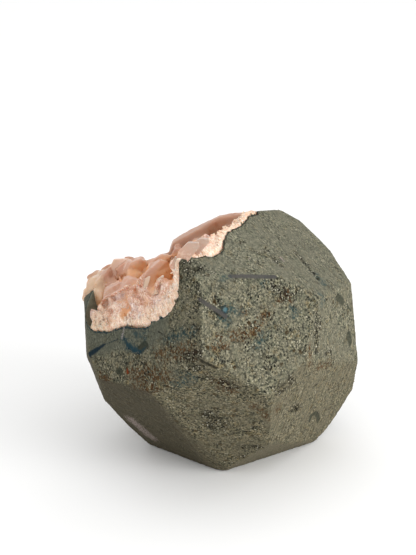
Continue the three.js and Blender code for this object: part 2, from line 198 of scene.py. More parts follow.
# Marks on the basalt, as strokes on its flats: across and up where each starts, across and
# up where it ends, half width. Millimetres from the middle of the flat.
MARKS = {
    "blue": {"right_front": [(-27.8, 15.6, -27.7, 15.8, 0.7)]},
    "crescent": {"left_front": [
        (-2.4, 5.2, 0.2, 2.8, 0.5), (0.2, 2.8, 3.4, 2.2, 1), (3.4, 2.2, 6.6, 2.3, 0.9),
        (6.6, 2.3, 9, 4.6, 0.45)]},
    "teal": {
        "right_front": [
            (-27.6, 15.1, -27.6, 15.1, 2.4), (-24.6, 15.6, -23.5, 14.5, 1.5),
            (-29.9, 13.4, -28, 11.5, 1.6), (-0.5, 9.6, 0.5, 7.4, 1.6), (-9.6, 21, -9, 21, 1.2)],
        "middle_front": [(-15.9, 3, -12, 6, 1.6)],
        "left_front": [
            (19.7, 10.8, 27, 14.8, 1.8), (27.5, 15.2, 30.2, 16.6, 1.6), (-3, 4.4, -0.4, 2.8, 1.3),
            (-0.4, 2.9, 4.6, 2.9, 1.6), (2.8, 8, 6, 8, 1.2), (8.3, 6.5, 7.4, 9.4, 0.8),
            (6.7, 12.4, 8.9, 11.9, 1)],
        "right_shoulder": [(-0.4, -9.5, -1.2, -13, 1.6)],
        "right_upper": [(-2.4, 25, -1.8, 21.5, 1.5)],
        "top_front": [(-34.6, -3.1, -30.5, -3.2, 1.1)],
        "under_front": [(-10, 30, -6, 34, 2.6)]},
    "veins": {"left_front": [
        (-20.2, -7.2, -15.5, -3.4, 0.95), (-15.5, -3.4, -12.4, -0.8, 0.65),
        (-12.4, -0.8, -5.5, 3.3, 0.36), (-2.6, 5.1, 0.7, 1.7, 0.3),
        (0.7, 1.7, 4.9, 1.3, 0.35), (4.9, 1.3, 8.6, 3, 0.3), (8.6, 3, 9.4, 5.3, 0.3),
        (9.4, 5.3, 7.8, 8, 0.25)]},
    "olive": {
        "left_front": [(6.6, 3.2, 8.7, 5.6, 1.45), (-3, -7.6, -1.4, -7.4, 1.2)],
        "under_right": [
            (11.3, -15.6, 10.6, -13, 1), (10.6, -13, 13.5, -13, 1), (13.5, -13, 16.7, -15.8, 1),
            (16.7, -15.8, 19.6, -19.8, 1.1)],
        "right_upper": [
            (11.6, 19.2, 16, 15.9, 1.5), (20, 13, 23.6, 9.8, 0.45), (20.4, 1, 21.9, -2.2, 1.7)]},
    "rust": {
        "middle_front": [
            (-24.6, 8.6, -21.6, 7.2, 1.5), (-30.3, 9.6, -30.3, 7.6, 1.3),
            (-33.5, 6.5, -28, 5.7, 1.2)],
        "right_front": [
            (-21.6, 6, -15.9, 6.4, 1.7), (-14, 8.6, -10.8, 10.6, 1.6), (-1, 15.4, -0.1, 13, 1.2),
            (-6.4, 14, -3.5, 14, 1.3), (-19.8, 12.5, -19.8, 12.5, 1.1)],
        "left_front": [
            (5, -6, 15.8, -3.4, 2.8), (15, -4.4, 21.3, -2.5, 2.2), (7.3, -10.2, 15, -7.4, 2.4),
            (-12, -12.8, -8, -12.4, 2), (16.8, 4, 30.4, 9.6, 2.4), (1.6, -5.6, 2, -7, 0.9)],
        "under_front": [(4, 31, 8, 27, 2.2), (16, 18, 20, 12, 1.6)],
        "right_upper": [(-14, 9, -14, 2, 1.4), (-6, -2, 4, -4, 1.6)],
        "under_right": [(-21, 6, -19, 3, 1.2)]},
    "red": {"left_front": [(1.6, -5.7, 2, -6.7, 0.5)]},
    "crumbled": {
        "under_front": [
            (-0.8, 12.2, 3.5, 4.9, 2.6), (-1.5, 6, 1, 3.5, 1.6), (4.4, 31.6, 9.4, 29.4, 1.9),
            (-2, 34.2, 0, 33.6, 1.2), (11.5, -8.3, 17, -8.4, 1.5), (9.3, -16, 11.6, -14.6, 1),
            (14.6, 4.6, 16.5, 4.8, 0.7), (-6, 38, -2, 40.5, 1.6)],
        "under_right": [
            (-25.1, 15.6, -21.4, 13.6, 1.9), (-20, 18.1, -15.5, 14.6, 1.5),
            (-7.8, -1, -3.5, -3.2, 1.7), (2.7, 4.1, 4.7, 4.4, 0.6)],
        "top_front": [
            (-41, 6.8, -38, 3.6, 2.5), (-9.6, 1.5, -6.3, 0.6, 0.9), (-11.8, 7.1, -10.2, 7.1, 0.8),
            (-14, -3.4, -12.7, -2.8, 0.6), (-35.4, 0.8, -34, 0.4, 0.6)],
        "right_shoulder": [
            (-13.6, 6.4, -13.8, 3.4, 1.6), (3, 16.8, 2.5, 15.4, 0.6), (3.3, 12, 2.3, 9.4, 0.6),
            (8.1, 8.8, 7.2, 6.8, 0.5), (-11.6, 10.9, -12.4, 9.4, 0.6), (3, 1.1, 1.5, -4.3, 1.3),
            (1.5, -4.3, -1.4, -10.4, 1.1)],
        "right_upper": [
            (-7.4, 16.6, -4.4, 14, 1.6), (-8, 13, -8.4, 5.6, 1.5), (-0.6, 1.5, 3.9, 0.6, 1)],
        "right_front": [(-36.3, 25.9, -36.6, 20.6, 0.9), (-5, 19, -2, 14.6, 1.8)],
        "left_front": [(31, 18, 32.4, 17.7, 0.8), (28, 7, 34, 10, 1.6)],
        "middle_front": [(-14.4, -0.2, -11.7, -2.8, 0.8)]},
    "cracks": {
        "left_front": [
            (33.4, 19, 31.6, 26.4, 0.6), (-13.8, -1.7, -8.5, 4.9, 0.3),
            (13.9, 11.9, 18.5, 11, 0.4), (28.7, 19, 31.4, 18.2, 0.45),
            (31.2, 19.2, 32.6, 16.4, 0.4)],
        "right_front": [(-36.9, 19.9, -26.9, 10.9, 0.42), (-9.9, 23.2, -3.3, 21.4, 0.42)],
        "under_front": [(-2, 44, 3.3, 40, 0.7)]},
    "smoothed": {
        "top_front": [(-29.6, -3.6, -12.4, -10.8, 0.85)],
        "right_front": [
            (-23, 25.9, -9.9, 23.4, 0.72), (-9.9, 23.4, -4.4, 22, 0.5),
            (-36.4, 20.8, -28, 13.4, 0.8)]},
    "pale": {
        "under_left": [(-19.6, -4.8, -16, -14.2, 3.2)],
        "top_front": [(-15.2, -0.2, -15, -0.2, 0.45)],
        "right_shoulder": [(-9.4, 4.4, -9.4, 3.4, 0.8)],
        "left_front": [(-2.9, 9.6, -3.4, 4.4, 0.5)]},
}
# Dark rings: flat, across and up where the middle is, radius.
RINGS = [("right_front", -27.8, 15.7, 1.2), ("right_front", -20.8, 13.5, 0.9)]
RING_HALF_WIDTH = 0.35


# -------- places

def facing(turn, tilt):
    a = math.radians(turn)
    e = math.radians(tilt)
    return Vector((math.sin(a) * math.cos(e), -math.cos(a) * math.cos(e), math.sin(e)))


def on_flat(flat, across, up):
    """The point of the part, in metres, at those millimetres on a flat."""
    turn, tilt, reach = FLATS[flat][:3]
    outward = facing(turn, tilt)
    sideways = Vector((0, 0, 1)).cross(outward).normalized()
    upward = outward.cross(sideways)
    place = Vector(NODULE_CENTRE) + outward * reach + sideways * across + upward * up
    return place * MM


def height_over(flat, points):
    """How far out of a flat each point is, in millimetres, and which way the flat faces."""
    outward = np.array(facing(*flat[:2]))
    return (np.asarray(points) / MM - NODULE_CENTRE) @ outward - flat[2], outward


def depth_under(flats, points):
    """How deep each point is under the nearest of some flats, in millimetres."""
    return -np.max([height_over(flat, points)[0] for flat in flats], axis=0)


def depth_in_hull(points):
    return depth_under([*FLATS.values(), *MOUTH_BREAKS], points)


def heart_of_bowl():
    return Vector(BOWL_CENTRE) * MM + facing(BOWL_LEAN_TURN, 90 - BOWL_LEAN) * 6 * MM


# -------- modelling by hand

def select_only(piece):
    bpy.ops.object.select_all(action="DESELECT")
    piece.select_set(True)
    bpy.context.view_layer.objects.active = piece


def finish_with(piece, kind, **settings):
    """Adds a modifier to a piece and applies it."""
    select_only(piece)
    modifier = piece.modifiers.new(kind.lower(), kind)
    for name, value in settings.items():
        setattr(modifier, name, value)
    bpy.ops.object.modifier_apply(modifier=modifier.name)


def remesh(piece, voxel, rounds):
    """Makes a piece's surface anew in small even faces, and smooths it."""
    finish_with(piece, "REMESH", mode="VOXEL", voxel_size=voxel * MM)
    finish_with(piece, "SMOOTH", factor=0.5, iterations=rounds)


def put_in_scene(thing):
    bpy.context.scene.collection.objects.link(thing)


def copy_of(piece):
    copy = piece.copy()
    copy.data = piece.data.copy()
    put_in_scene(copy)
    return copy


def merged_copy(node, name):
    """A copy of a node of the part, with its loose triangles joined."""
    piece = bpy.data.objects.new(name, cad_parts[node].data.copy())
    piece.data.materials.clear()
    put_in_scene(piece)
    select_only(piece)
    bpy.ops.object.mode_set(mode="EDIT")
    bpy.ops.mesh.select_all(action="SELECT")
    bpy.ops.mesh.remove_doubles(threshold=1e-6)
    bpy.ops.object.mode_set(mode="OBJECT")
    return piece


def surface_of(piece):
    return BVHTree.FromObject(piece, bpy.context.evaluated_depsgraph_get())


def each_vertex(piece, what):
    values = np.empty(len(piece.data.vertices) * 3)
    piece.data.vertices.foreach_get(what, values)
    return values.reshape(-1, 3)


def places_of(piece):
    return each_vertex(piece, "co")


def normals_of(piece):
    return each_vertex(piece, "normal")


def move_to(piece, points):
    piece.data.vertices.foreach_set("co", points.ravel())
    piece.data.update()


def note_on(piece, **notes):
    """Keeps numbers for a piece's vertices, for its material to read."""
    for name, values in notes.items():
        note = piece.data.attributes.new(name, "FLOAT", "POINT")
        values = np.full(len(note.data), values, dtype=np.float32)
        note.data.foreach_set("value", values)


def weigh(piece, name, weights, levels):
    """Keeps a weight from 0 to 1 for each vertex, in so many steps, for modifiers to read."""
    group = piece.vertex_groups.new(name=name)
    steps = np.round(weights * levels).astype(int)
    for step in range(1, levels + 1):
        group.add(np.nonzero(steps == step)[0].tolist(), step / levels, "REPLACE")


def roughen(piece, name, size, height, **settings):
    """Lifts a piece's surface by soft noise with lumps about size mm wide."""
    texture = bpy.data.textures.new(name, "CLOUDS")
    texture.noise_scale = size * MM
    texture.noise_depth = 2
    finish_with(piece, "DISPLACE", texture=texture, strength=height * MM, **settings)


def smooth_step(values, low, high):
    part = np.clip((values - low) / (high - low), 0, 1)
    return part * part * (3 - 2 * part)


# -------- materials

def operator(operation):
    """Python's operator for that operation on wires, and the same with its sides turned."""
    return (lambda wire, other: wire.math(operation, wire, other),
            lambda wire, other: wire.math(operation, other, wire))


class Wire:
    """A socket of a material, for use in Python expressions."""

    def __init__(self, tree, socket):
        self.tree = tree
        self.socket = socket

    def node(self, kind, settings=None, sockets=None, output=0):
        """Adds a node: first its settings, then the values or links of its sockets."""
        made = self.tree.nodes.new(kind)
        for name, value in (settings or {}).items():
            setattr(made, name, value)
        self.fill(made, sockets or {})
        return Wire(self.tree, find_socket(made.outputs, output))

    def fill(self, node, sockets):
        """Gives a node's sockets their values, or links wires to them."""
        for name, value in sockets.items():
            target = find_socket(node.inputs, name)
            if isinstance(value, Wire):
                self.tree.links.new(value.socket, target)
            else:
                target.default_value = value

    def math(self, operation, *values):
        return self.node("ShaderNodeMath", {"operation": operation}, dict(enumerate(values)))

    def scaled(self, by):
        return self.node("ShaderNodeVectorMath", {"operation": "SCALE"}, {0: self, "Scale": by})

    __add__, __radd__ = operator("ADD")
    __sub__, __rsub__ = operator("SUBTRACT")
    __mul__, __rmul__ = operator("MULTIPLY")
    __truediv__, __rtruediv__ = operator("DIVIDE")


def find_socket(sockets, name):
    if isinstance(name, int):
        return [socket for socket in sockets if socket.enabled][name]
    return next(socket for socket in sockets if socket.enabled and socket.name == name)


def new_finish(name):
    """A new material: itself, its shader, and a wire with the place on the piece, in mm."""
    material = bpy.data.materials.new(name)
    material.use_nodes = True
    tree = material.node_tree
    shader = tree.nodes["Principled BSDF"]
    place = Wire(tree, None).node("ShaderNodeTexCoord", output="Object")
    return material, shader, place.scaled(1 / MM)


def colour(given):
    """A colour as a shader wants it, from its usual hex word or three parts."""
    if isinstance(given, Wire):
        return given
    if isinstance(given, str):
        parts = [int(given[i:i + 2], 16) / 255 for i in (0, 2, 4)]
        given = (p / 12.92 if p <= 0.04045 else ((p + 0.055) / 1.055) ** 2.4 for p in parts)
    return (*given, 1)


def noise_at(place, size, detail=2, rough=0.5):
    """Soft noise with lumps about size mm wide, from 0 to 1."""
    return place.node("ShaderNodeTexNoise", None, {
        "Vector": place, "Scale": 1 / size, "Detail": detail, "Roughness": rough})


def rise(value, low, high):
    """0 below low, 1 above high, smooth between."""
    return value.node("ShaderNodeMapRange", {"interpolation_type": "SMOOTHSTEP"}, {
        "Value": value, "From Min": low, "From Max": high})


def blend(mask, under, over, way="MIX"):
    """under where the mask is 0, over where it is 1; each a colour or a wire."""
    return mask.node("ShaderNodeMix", {"data_type": "RGBA", "blend_type": way}, {
        "Factor": mask, "A": colour(under), "B": colour(over)})


def tinted(mask, under, tint):
    return blend(mask, under, tint, "MULTIPLY")


def note(place, name):
    return place.node("ShaderNodeAttribute", {"attribute_name": name}, output="Fac")


def bumped(place, height, depth):
    """The normal of a surface with height from 0 to 1 on it, depth in mm."""
    return place.node("ShaderNodeBump", None, {
        "Height": height, "Distance": depth * MM, "Strength": 1.0})


def mark_mask(place, name, ragged, soft=0.5, lump=1.4):
    """1 inside the strokes kept under a name, 0 outside, with an edge as ragged as asked."""
    edge = note(place, name) + (noise_at(place, lump, 3, 0.65) - 0.5) * ragged
    return 1 - rise(edge, 1 - soft, 1 + soft)


def saw_lines(place, spacing):
    """Noise in straight lines along the saw's path over each flat, from 0 to 1."""
    return place.node("ShaderNodeTexNoise", {"noise_dimensions": "1D"}, {
        "W": note(place, "across_cut") / spacing, "Scale": 1.0, "Detail": 2, "Roughness": 0.6})


def grains(place, size, often):
    """Small round grains about size mm across: 1 in a grain, 0 around it."""
    cells = {"Vector": place, "Scale": 0.66 / size, "Randomness": 1.0}
    away = place.node("ShaderNodeTexVoronoi", {"feature": "F1"}, cells)
    chance = place.node("ShaderNodeTexVoronoi", {"feature": "F1"}, cells, output=1)
    chance = chance.node("ShaderNodeSeparateColor", None, {0: chance})
    reach = chance.math("MINIMUM", (chance - (1 - often)) * (3 / often), 1.0)
    return rise(reach * 0.36 - away, -0.07, 0.07)


def basalt_finish():
    material, shader, place = new_finish("basalt")
    speckle, warmth, contact, left, inside = (
        note(place, name) for name in ("speckle", "warmth", "contact", "left_side", "inside"))
    calm = (1 - rise(contact + noise_at(place, 3) * 5, 6, 9)) * left
    smoothed = mark_mask(place, "smoothed", 0.7, 0.35, 0.9)
    swirl = place.node("ShaderNodeTexNoise", None, {"Vector": place, "Scale": 0.9}, output=1)
    bent = place.node("ShaderNodeVectorMath", {"operation": "MULTIPLY_ADD"}, {
        0: swirl, 1: (1.1, 1.1, 1.1), 2: place})
    patch = noise_at(place, 7, 3, 0.6)
    strength = speckle * (0.55 + rise(patch, 0.36, 0.6) * 0.7)
    strength = strength * (1 - calm * 0.65) * (1 - smoothed * 0.8) * (1 - inside * 0.7)
    mottle = noise_at(bent, 0.8, 3, 0.75)
    fine = noise_at(place, 0.40, 2, 0.6)
    stone = blend(rise(mottle, 0.40, 0.60), "3f403a", "888474")
    stone = blend(strength, "68655a", stone)
    stone = tinted(warmth, stone, (1.05, 0.95, 0.76))
    stone = tinted(1 - warmth, stone, (0.96, 1.0, 0.95))
    blotch = noise_at(bent, 2.4, 2, 0.6)
    stone = tinted((1 - rise(blotch, 0.36, 0.52)) * strength * 0.7, stone, (0.70, 0.74, 0.73))
    stone = tinted(rise(blotch, 0.50, 0.62) * strength * 0.7, stone, (1.13, 1.11, 1.06))
    green = rise(noise_at(place, 3.2, 3, 0.65), 0.50, 0.62)
    stone = tinted(green * 0.7, stone, (0.80, 0.84, 0.81))
    brown = rise(noise_at(place, 2.6, 3, 0.65), 0.54, 0.64)
    stone = tinted(brown * strength * 0.7, stone, (0.98, 0.84, 0.66))
    stone = tinted(1 - rise(fine, 0.38, 0.60), stone, (0.78, 0.78, 0.76))
    beige = grains(bent, 0.58, 0.45)
    stone = blend(beige * strength * 0.6, stone, "a8a28c")
    dark = grains(bent, 0.75, 0.40)
    stone = blend(dark * strength * 0.85, stone, "1b1b14")
    specks = grains(place, 0.48, 0.45) * rise(patch, 0.40, 0.56)
    stone = blend(specks * strength * 0.75, stone, "21211a")
    spots = grains(bent, 1.5, 0.14)
    stone = blend(spots * strength * 0.7, stone, "33260f")
    rusty = mark_mask(place, "rust", 6, 0.8, 1.3) * rise(noise_at(bent, 0.9, 2), 0.42, 0.56)
    rust = blend(rise(fine, 0.4, 0.6), "2a1a08", "5a3b18")
    stone = blend(rusty * 0.85, stone, rust)
    stone = blend(mark_mask(place, "red", 1.0, 0.3) * 0.9, stone, "6e2906")
    teal = mark_mask(place, "teal", 5.0, 1.0) * rise(noise_at(bent, 1.0, 2), 0.34, 0.60)
    stone = blend(teal * 0.7, stone, "1b3a3d")
    stone = blend(mark_mask(place, "olive", 0.8, 0.2) * 0.8, stone, "2c2f24")
    stone = blend(mark_mask(place, "rings", 2.4, 0.5) * 0.6, stone, "0f2226")
    stone = blend(mark_mask(place, "blue", 3.0, 0.5) * 0.7, stone, "3a6470")
    stone = blend(mark_mask(place, "crescent", 1.7, 0.6) * 0.8, stone, "103540")
    crumbled = mark_mask(place, "crumbled", 4.0, 0.6)
    # Painted shade: the holes in the crumbled stone are painted near-black, as the shade inside
    # them; the bump below dents them.
    holes = rise(noise_at(bent, 0.9, 2, 0.5), 0.44, 0.58)
    stone = blend(crumbled * holes * 0.9, stone, "100f09")
    glints = grains(place, 0.5, 0.4)
    stone = blend(crumbled * glints * 0.85, stone, "bcb7a4")
    stone = blend(smoothed * (0.5 + fine * 0.4), stone, "38363a")
    stone = blend(mark_mask(place, "cracks", 1.1, 0.4, 0.9) * 0.8, stone, "12130d")
    stone = blend(mark_mask(place, "veins", 0.8, 0.4, 0.9) * 0.95, stone, "04202b")
    edge = contact + (noise_at(place, 1.2, 2) - 0.5) * 0.8
    rim = blend(left, "0e1009", "0b2a31")
    stone = blend((1 - rise(edge, 0.3, 0.7)) * (1 - inside) * 0.85, stone, rim)
    # Lightness: each flat's note is partly the stone's own tone and partly painted shade; where
    # the stone faces into the hollow it is painted 1.5 times as light, painted light against the
    # hollow's shade.
    shade = note(place, "shade") * (1 - calm * 0.12) * (1 - inside) + inside * 1.5
    stone = stone.scaled(shade)
    pale = mark_mask(place, "pale", 2.0) * rise(mottle, 0.36, 0.56)
    stone = blend(pale * 0.8, stone, "8f827c")
    lines = saw_lines(place, 0.9)
    sawn = note(place, "sawn")
    stone = tinted(rise(lines, 0.44, 0.60) * sawn, stone, (0.66, 0.65, 0.63))
    stone = tinted(calm, stone, (0.90, 1.0, 1.08))
    height = 0.4 + mottle * 0.3 + fine * 0.3 + beige * 0.2 - dark * 0.4 - specks * 0.3
    height = height * strength + lines * sawn * 0.6 - crumbled * holes * 0.8
    place.fill(shader, {
        "Base Color": stone,
        "Roughness": 0.72 + fine * 0.2,
        "Normal": bumped(place, height, 0.25),
        "Specular IOR Level": 0.12,
    })
    return material


def heulandite_look(shader, place, body, rough, height):
    place.fill(shader, {
        "Base Color": body,
        "Roughness": rough,
        "Normal": bumped(place, height, 0.2),
        "Subsurface Weight": 0.45,
        "Subsurface Radius": (1.0, 0.6, 0.4),
        "Subsurface Scale": 0.002,
        "Coat Weight": 0.2,
        "Coat Roughness": 0.15,
    })


def hollow_colour_and_painted_light(place, body):
    """Painted glow and shade on the crust: more orange, then lighter, deep in the hollow; darker
    and browner on its far walls; frosted grey and rusty spots of its own.
    """
    deep = note(place, "deep") + (noise_at(place, 6, 2) - 0.5) * 6
    far = note(place, "far")
    # Painted glow: deeper in the hollow the crust is painted more orange, then lighter, for light
    # that scatters and bounces inside it.
    body = blend(rise(deep, 1.0, 4.5) * 0.9, body, "dca678")
    body = blend(rise(deep, 5, 12) * 0.9, body, "ecb986")
    # Painted shade: the far walls of the hollow are painted darker and browner.
    body = tinted(far, body, (0.78, 0.74, 0.66))
    frosted = rise(note(place, "tint"), 0.93, 0.96) * rise(deep, 0, 2)
    body = blend(frosted * 0.8, body, "b09a8c")
    spots = rise(noise_at(place, 4.0, 2), 0.60, 0.68) * rise(deep, 1, 4)
    return blend(spots * 0.5, body, "b5652f")


def wall_finish():
    """Heulandite where it is broken through: cream fibres at the stone, pink crystal within."""
    material, shader, place = new_finish("heulandite_wall")
    depth = note(place, "depth")
    tint = note(place, "tint")
    cut = note(place, "cut")
    # Noise at places squeezed like this runs in fibres out of the basalt.
    squeezed = place.node("ShaderNodeCombineXYZ", None, {
        0: note(place, "around"), 1: depth * 0.14, 2: tint * 9})
    fibres = noise_at(squeezed, 0.45, 3, 0.65)
    patch = noise_at(place, 3.0, 3, 0.6)
    fine = noise_at(place, 0.5, 2, 0.6)
    inward = depth + (patch - 0.5) * 8 + (fibres - 0.5) * 4
    body = blend(rise(inward, 2.5, 7), "e2c2a6", "c4957c")
    body = blend(rise(tint, 0.30, 0.34) * rise(depth, 2, 4) * 0.5, body, "ecd2bf")
    grey = rise(tint, 0.58, 0.62) * (1 - rise(tint, 0.86, 0.90)) * rise(depth, 2, 4)
    body = blend(grey * 0.9, body, "b8988e")
    body = blend(rise(fibres, 0.52, 0.64) * cut * 0.5, body, "fff0e2")
    body = blend((1 - rise(fibres, 0.36, 0.48)) * cut * 0.4, body, "c28e70")
    # Painted highlights: fine near-white flecks on the cut face, as sparkle.
    body = blend(rise(fine, 0.55, 0.62) * cut * 0.5, body, "fff6ec")
    body = blend((1 - rise(fine, 0.36, 0.44)) * cut * 0.4, body, "a87860")
    lumps = noise_at(place, 1.4, 3, 0.7)
    body = blend(rise(lumps, 0.54, 0.62) * cut * 0.45, body, "f8e6d4")
    body = tinted((1 - rise(lumps, 0.38, 0.48)) * cut, body, (0.86, 0.78, 0.74))
    rosy = rise(noise_at(place, 3.5, 3, 0.6), 0.54, 0.64)
    body = tinted(rosy, body, (0.90, 0.80, 0.75))
    tan = rise(noise_at(place, 2.2, 3, 0.6), 0.62, 0.68) * (1 - rise(depth, 5, 8))
    body = blend(tan * 0.6, body, "cc8138")
    body = blend(mark_mask(place, "amber", 1.4, 0.4) * 0.75, body, "c4792a")
    tips = (1 - rise(depth, 0.4, 1.4)) * rise(fine, 0.52, 0.60)
    body = blend(tips * 0.5, body, "7d5640")
    body = hollow_colour_and_painted_light(place, body)
    height = fibres * cut * 0.6 + fine * (0.15 + cut * 0.3) + patch * 0.3
    heulandite_look(shader, place, body, 0.28 + fine * 0.25, height)
    return material


def blade_finish():
    """A heulandite blade that stands out: pale, glassy, pinker at its root."""
    material, shader, place = new_finish("heulandite_blade")
    tip = note(place, "tip")
    tint = note(place, "tint")
    soft = noise_at(place, 1.6, 3, 0.65)
    reach = tip + (soft - 0.5) * 0.8
    body = blend(rise(reach, 0.0, 0.9), "c89a80", "c0a694")
    body = blend(rise(tint, 0.82, 0.88) * 0.8, body, "f3d9c0")
    body = blend(rise(soft, 0.56, 0.66) * 0.25, body, "ffeedd")
    # Painted highlights: near-white at the tips of the paler blades.
    edges = rise(tip, 0.90, 0.98) * rise(tint, 0.5, 0.9)
    body = blend(edges * 0.6, body, "fff6ec")
    heulandite_look(shader, place, body, 0.2 + soft * 0.3, soft * 0.8)
    place.fill(shader, {"Transmission Weight": 0.25, "IOR": 1.5})
    return material


# -------- the nodule

def stroke_distance(points, strokes):
    """For each point, how far it is from the nearest stroke, in that stroke's half widths."""
    nearest = np.full(len(points), NO_MARK)
    for flat, marks in strokes.items():
        for x0, y0, x1, y1, half_width in marks:
            start = np.array(on_flat(flat, x0, y0))
            run = np.array(on_flat(flat, x1, y1)) - start
            square = max(float(run @ run), 1e-12)
            along = np.clip((points - start) @ run / square, 0, 1)
            gap = np.linalg.norm(points - start - np.outer(along, run), axis=1)
            nearest = np.minimum(nearest, gap / (half_width * MM))
    return nearest


def ring_distance(points):
    """For each point, how far it is from the nearest ring, in half widths of its line."""
    nearest = np.full(len(points), NO_MARK)
    for flat, across, up, radius in RINGS:
        gap = np.linalg.norm(points - np.array(on_flat(flat, across, up)), axis=1) / MM
        nearest = np.minimum(nearest, np.abs(gap - radius) / RING_HALF_WIDTH)
    return nearest


def saw_marks(points):
    """For each point, its place across the saw's path in mm, and how clear the lines are."""
    heights = []
    paths = []
    for name, flat in FLATS.items():
        height, outward = height_over(flat, points)
        sideways = np.cross((0, 0, 1), outward)
        sideways /= np.linalg.norm(sideways)
        upward = np.cross(outward, sideways)
        way, clear = SAW_PATHS.get(name, OTHER_SAW_PATHS)
        cross = upward * math.cos(math.radians(way)) - sideways * math.sin(math.radians(way))
        heights.append(height)
        paths.append((points / MM @ cross, np.full(len(points), clear)))
    nearest = np.argmax(heights, axis=0)
    every = np.arange(len(points))
    paths = np.array(paths)
    return paths[nearest, 0, every], paths[nearest, 1, every]


def flat_mix(points):
    """Speckle, warmth and shade for each point, passing smoothly from flat to flat."""
    weights = [np.full(len(points), math.exp(-FLATS_START / EDGE_BLUR))]
    for flat in FLATS.values():
        height = height_over(flat, points)[0]
        weights.append(np.exp(np.minimum(height, 0) / EDGE_BLUR))
    weights = np.array(weights)
    looks = np.array([OTHER_FLATS] + [flat[3:] for flat in FLATS.values()])
    return (weights / weights.sum(0)).T @ looks


def facing_heart(piece):
    """1 where a surface faces the heart of the hollow, 0 on the outside of the nodule."""
    toward = np.array(heart_of_bowl()) - places_of(piece)
    toward /= np.linalg.norm(toward, axis=1)[:, None]
    return smooth_step((normals_of(piece) * toward).sum(1), 0.1, 0.4)


def lap_over_crust(nodule):
    """Grows the stone a little over the edge of the crust, along the flats that cut both."""
    points = places_of(nodule)
    across = points[:, 0] / MM
    more = smooth_step(across, *STONE_LAP_MORE_FROM) - smooth_step(across, *STONE_LAP_MORE_TO)
    laps = STONE_LAP + STONE_LAP_MORE * more
    crust = surface_of(crust_source)
    for i, normal in enumerate(normals_of(nodule)):
        if crust.find_nearest(points[i])[3] > 0.4 * MM:
            continue
        over = [height_over(face, points[i]) for face in CUT_FACES]
        height, outward = max(over, key=lambda flat: flat[0])
        sideways = normal - outward * (normal @ outward)
        lap = laps[i] * (1 - smooth_step(-height, 2, 6)) * MM
        points[i] += sideways / max(np.linalg.norm(sideways), 0.05) * lap
        for face in CUT_FACES:
            height, outward = height_over(face, points[i])
            points[i] -= outward * max(height, 0) * MM
    move_to(nodule, points)


def gap_to_hollow(points, inside):
    """How far each point is from the nearest one that faces into the hollow, in mm."""
    wall = points[inside > 0.5]
    tree = KDTree(len(wall))
    for i, point in enumerate(wall):
        tree.insert(point, i)
    tree.balance()
    return [tree.find(point)[2] / MM for point in points]


def make_nodule():
    nodule = merged_copy("basalt_nodule", "nodule")
    lap_over_crust(nodule)
    remesh(nodule, STONE_VOXEL, STONE_WEAR)
    roughen(nodule, "wear", 9, 0.4, mid_level=0.8)
    roughen(nodule, "grit", 1.6, 0.3, mid_level=0.8)
    crumble(nodule)
    bpy.ops.object.shade_smooth()
    points = places_of(nodule)
    inside = facing_heart(nodule)
    note_on(
        nodule,
        contact=gap_to_hollow(points, inside),
        left_side=np.clip((-points[:, 0] / MM - 17) / 4, 0, 1),
        **dict(zip(("speckle", "warmth", "shade"), flat_mix(points).T)),
        inside=inside,
        **dict(zip(("across_cut", "sawn"), saw_marks(points))),
        **{name: stroke_distance(points, strokes) for name, strokes in MARKS.items()},
        rings=ring_distance(points))
    nodule.data.materials.append(basalt_finish())
    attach(nodule, "root")
    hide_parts("basalt_nodule")
    return nodule


def crumble(nodule):
    """Breaks small holes into the stone where it is crumbled."""
    points = places_of(nodule)
    normals = normals_of(nodule)
    inside = np.clip(1.3 - stroke_distance(points, MARKS["crumbled"]), 0, 1)
    for i in np.nonzero(inside)[0]:
        lump = noise.noise(Vector(points[i]) / (HOLE_LUMP * MM))
        points[i] -= normals[i] * inside[i] * max(lump + HOLE_SHARE, 0) * HOLE_DEPTH * MM
    move_to(nodule, points)


# -------- the crust

def cut_crystal(name):
    """A crystal one long, standing on the origin: a slab, cut by planes, with soft edges."""
    width, thickness, bevel, cuts = SHAPES[name]
    bpy.ops.object.select_all(action="DESELECT")
    bpy.ops.mesh.primitive_cube_add(size=1, location=(0, 0, 0.5), scale=(width, thickness, 1))
    crystal = bpy.context.object
    crystal.name = name
    bpy.ops.object.transform_apply(location=True, rotation=True, scale=True)
    bpy.ops.object.mode_set(mode="EDIT")
    for point, outward in cuts:
        bpy.ops.mesh.select_all(action="SELECT")
        bpy.ops.mesh.bisect(plane_co=point, plane_no=outward, use_fill=True, clear_outer=True)
    bpy.ops.object.mode_set(mode="OBJECT")
    finish_with(crystal, "BEVEL", width=bevel, segments=1, limit_method="ANGLE")
    note_on(crystal, tip=places_of(crystal)[:, 2])
    return crystal


def crystal_shapes():
    return {name: cut_crystal(name) for name in ("coffin", "wedge", "plate", "block")}


def drop(pieces):
    for piece in pieces:
        bpy.data.objects.remove(piece)


def stand(shape, root, direction, size, roll, tint, flat_side=None):
    """A copy of a crystal shape with its root at a place, size being width, depth, length."""
    copy = copy_of(shape)
    along = direction.normalized()
    sideways = along.cross(flat_side or Vector((0.3, 0.2, 1))).normalized()
    turn = Matrix((sideways, along.cross(sideways), along)).transposed().to_4x4()
    spin = Matrix.Rotation(roll, 4, "Z")
    scale = Matrix.Diagonal((*size, 1))
    copy.data.transform(Matrix.Translation(root) @ turn @ spin @ scale)
    note_on(copy, tint=tint)
    return copy


def join(copies, name):
    bpy.ops.object.select_all(action="DESELECT")
    for copy in copies:
        copy.select_set(True)
    bpy.context.view_layer.objects.active = copies[0]
    bpy.ops.object.join()
    joined = bpy.context.object
    joined.name = name
    low, high = (np.array(corner) for corner in SOLID_BOX)
    move_to(joined, np.clip(places_of(joined), low, high))
    return joined


